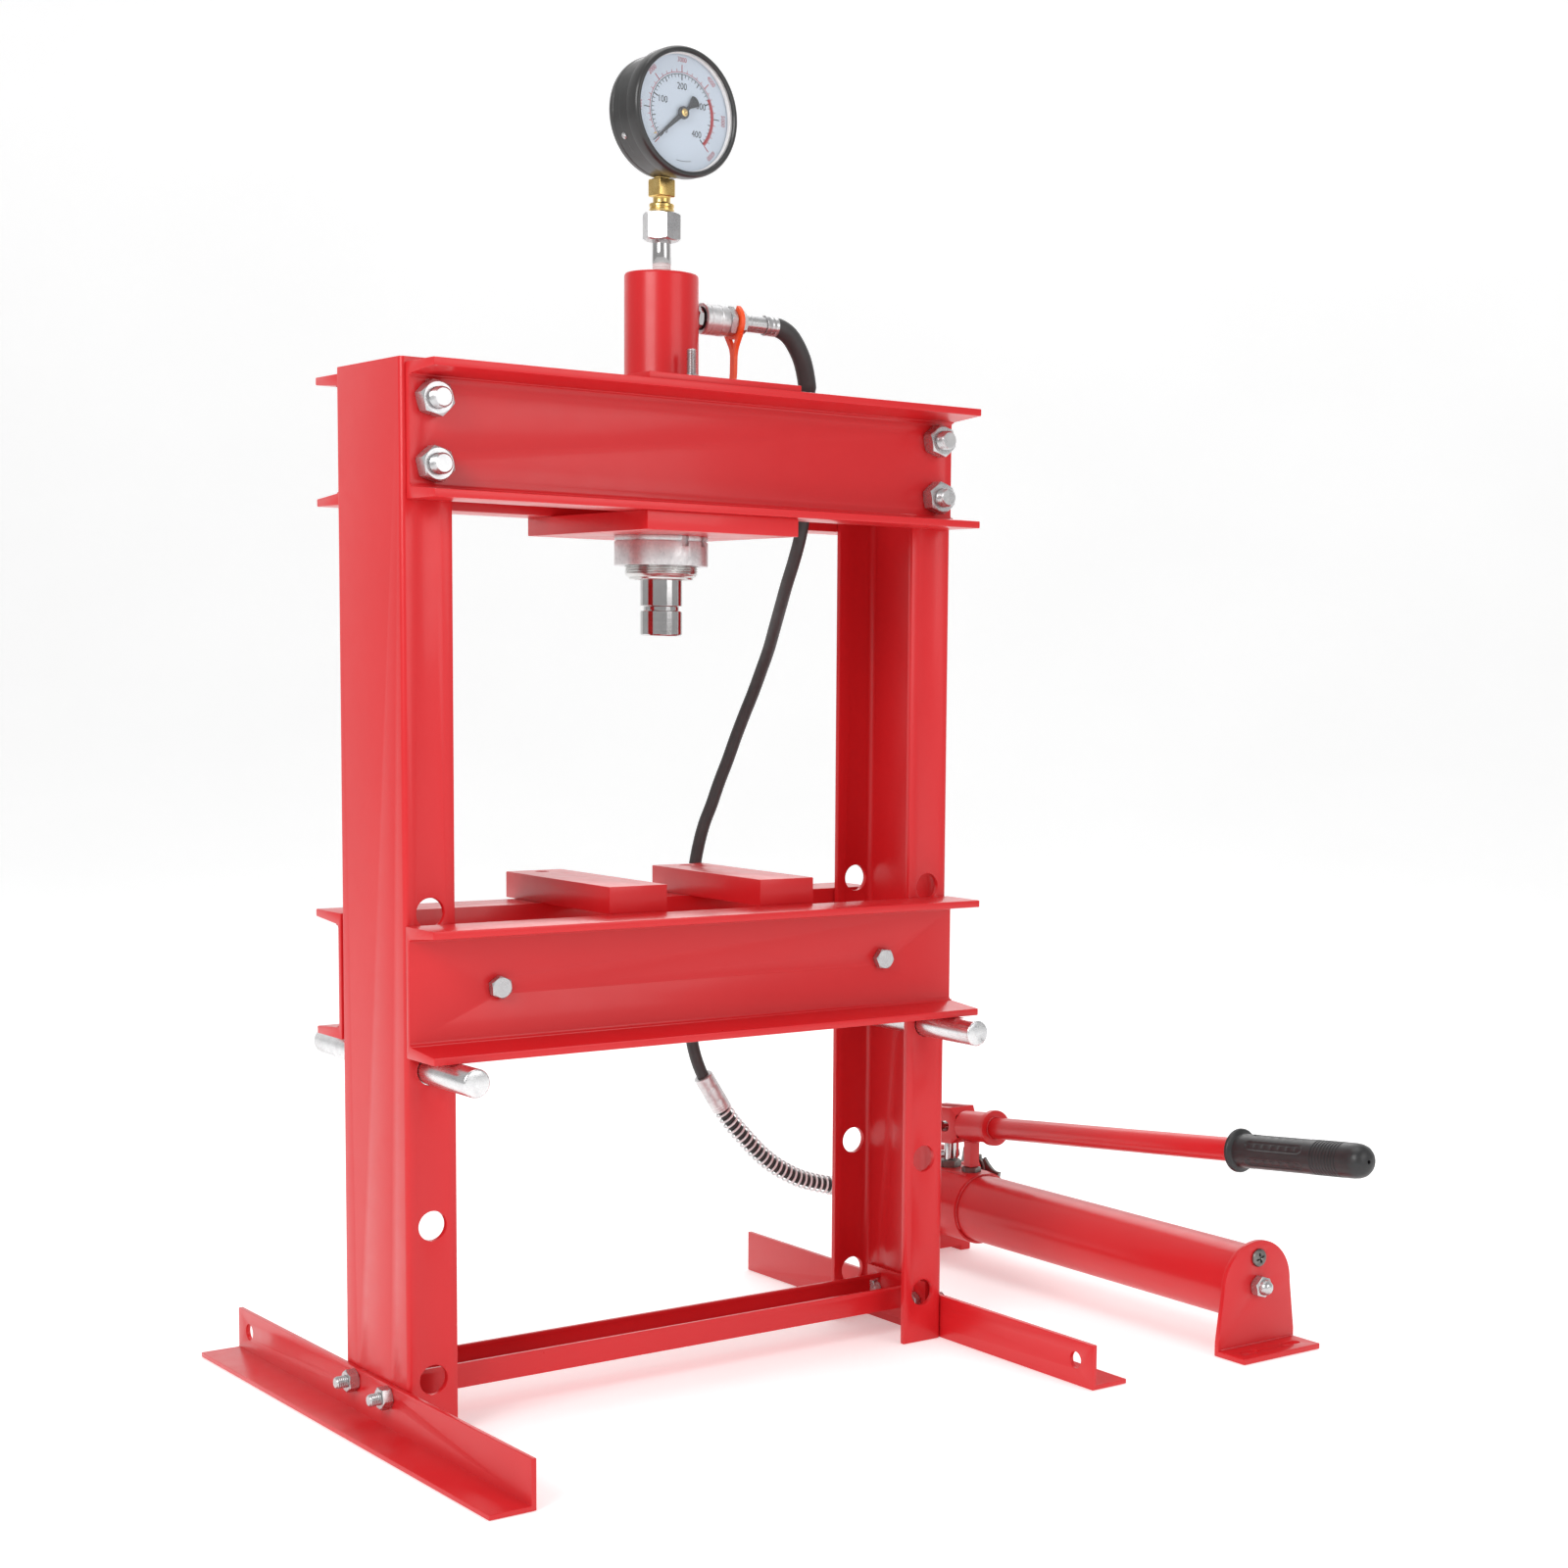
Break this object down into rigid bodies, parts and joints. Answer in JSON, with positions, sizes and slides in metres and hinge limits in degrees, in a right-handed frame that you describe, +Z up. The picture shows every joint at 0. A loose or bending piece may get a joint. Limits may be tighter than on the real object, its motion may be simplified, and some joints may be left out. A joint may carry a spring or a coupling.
{
  "type": "hydraulic shop press",
  "caption": "Bench H-frame hydraulic shop press: channel frame, threaded ram with pressure gauge, pinned sliding bed, loose arbor plates and a separate lever hand pump on a hose.",
  "frame": {"origin": "on the floor, in the middle of the floor area of the whole set (press and pump, hose left out)", "axes": "+X to the right along the beams, seen from the front; +Y to the back, the gauge and ram controls face -Y; +Z up along the ram"},
  "size_m": [0.795, 0.6424, 1.082],
  "materials": {
    "red_paint": "glossy, brushed-on edges slightly rounded",
    "zinc": "bright zinc plate",
    "bright_steel": "turned bright bar",
    "chrome_rod": "ground and polished",
    "brass": "turned brass",
    "black_case": "semi-gloss black",
    "dial_face": "matt printed",
    "clear_lens": "clear",
    "black_plastic": "moulded",
    "black_rubber": "smooth",
    "orange_plastic": "moulded",
    "dark_steel": "black oxide",
    "needle_black": "matt"
  },
  "bodies": {
    "press_frame": {"upright_left": "red_paint", "upright_right": "red_paint", "head_channel_front": "red_paint", "head_channel_rear": "red_paint", "head_bolts": "zinc", "head_nuts": "zinc", "cross_member": "red_paint", "foot_left": "red_paint", "foot_right": "red_paint", "foot_bolts": "zinc", "foot_nuts": "zinc", "top_clamp_plate": "red_paint", "lower_press_plate": "red_paint", "clamp_studs": "zinc", "clamp_nuts": "zinc", "ram_body": "red_paint", "ram_collar": "bright_steel", "ram_gland": "brass", "return_spring": "dark_steel", "gauge_adapter": "zinc", "gauge_stem": "brass", "gauge_case": "black_case", "gauge_dial": "dial_face", "gauge_bezel": "black_case", "gauge_lens": "clear_lens", "gauge_works": "brass", "coupler_nipple": "zinc", "coupler_body": "zinc", "dust_cap": "orange_plastic", "hose": "black_rubber", "hose_ends": "zinc", "hose_guard": "dark_steel", "pump_head": "red_paint", "pump_reservoir": "red_paint", "pump_tie_rod": "zinc", "pump_bracket": "red_paint", "pump_plugs": "dark_steel", "pump_gland": "dark_steel", "pump_links": "red_paint", "fulcrum_pin": "zinc"},
    "ram": {"ram_rod": "chrome_rod", "ram_piston": "bright_steel", "ram_seal": "black_rubber"},
    "gauge_needle": {"gauge_needle": "needle_black"},
    "coupler_sleeve": {"coupler_sleeve": "zinc"},
    "bed": {"bed_channel_front": "red_paint", "bed_channel_rear": "red_paint", "bed_bolts": "zinc", "bed_spacers": "red_paint"},
    "arbor_left": {"arbor_plate_left": "red_paint"},
    "arbor_right": {"arbor_plate_right": "red_paint"},
    "pin_left": {"pin_left": "bright_steel"},
    "pin_right": {"pin_right": "bright_steel"},
    "handle": {"handle_socket": "red_paint", "handle_tube": "red_paint", "handle_grip": "black_plastic"},
    "plunger": {"pump_plunger": "chrome_rod"},
    "release_valve": {"release_valve": "dark_steel"}
  },
  "joints": [
    {"name": "ram_slide", "type": "slide", "parent": "press_frame", "child": "ram", "axis": [0, 0, -1], "range_m": [0, 0.115], "stiffness_N_per_m": 500, "springref_m": -0.1, "deforming": ["return_spring"]},
    {"name": "gauge_needle_turn", "type": "hinge", "parent": "press_frame", "child": "gauge_needle", "pos_m": [-0.1055, 0.0572, 1.031], "axis": [-0.1045, 0.9945, 0], "range_deg": [0, 270], "stiffness_Nm_per_rad": 0.0004, "springref_deg": -114.59},
    {"name": "coupler_sleeve_turn", "type": "hinge", "parent": "press_frame", "child": "coupler_sleeve", "pos_m": [-0.0575, 0.0572, 0.876], "axis": [1, 0, 0], "continuous": true},
    {"name": "bed_slide", "type": "slide", "parent": "press_frame", "child": "bed", "axis": [0, 0, 1], "range_m": [0, 0.124]},
    {"name": "arbor_left_slide", "type": "slide", "parent": "bed", "child": "arbor_left", "axis": [1, 0, 0], "range_m": [-0.12, 0.006]},
    {"name": "arbor_right_slide", "type": "slide", "parent": "bed", "child": "arbor_right", "axis": [1, 0, 0], "range_m": [-0.04, 0.09]},
    {"name": "pin_left_slide", "type": "slide", "parent": "press_frame", "child": "pin_left", "axis": [0, -1, 0], "range_m": [0, 0.2]},
    {"name": "pin_right_slide", "type": "slide", "parent": "press_frame", "child": "pin_right", "axis": [0, -1, 0], "range_m": [0, 0.2]},
    {"name": "handle_hinge", "type": "hinge", "parent": "press_frame", "child": "handle", "pos_m": [0.3515, 0.2792, 0.1313], "axis": [-1, 0, 0], "range_deg": [0, 32]},
    {"name": "plunger_slide", "type": "slide", "parent": "press_frame", "child": "plunger", "axis": [0, 0, 1], "range_m": [0, 0.018]},
    {"name": "release_valve_turn", "type": "hinge", "parent": "press_frame", "child": "release_valve", "pos_m": [0.3915, 0.2572, 0.084], "axis": [1, 0, 0], "range_deg": [-180, 0]}
  ],
  "couplings": [
    {"joint": "plunger_slide", "follows": "handle_hinge", "m_per_rad": 0.0305}
  ]
}
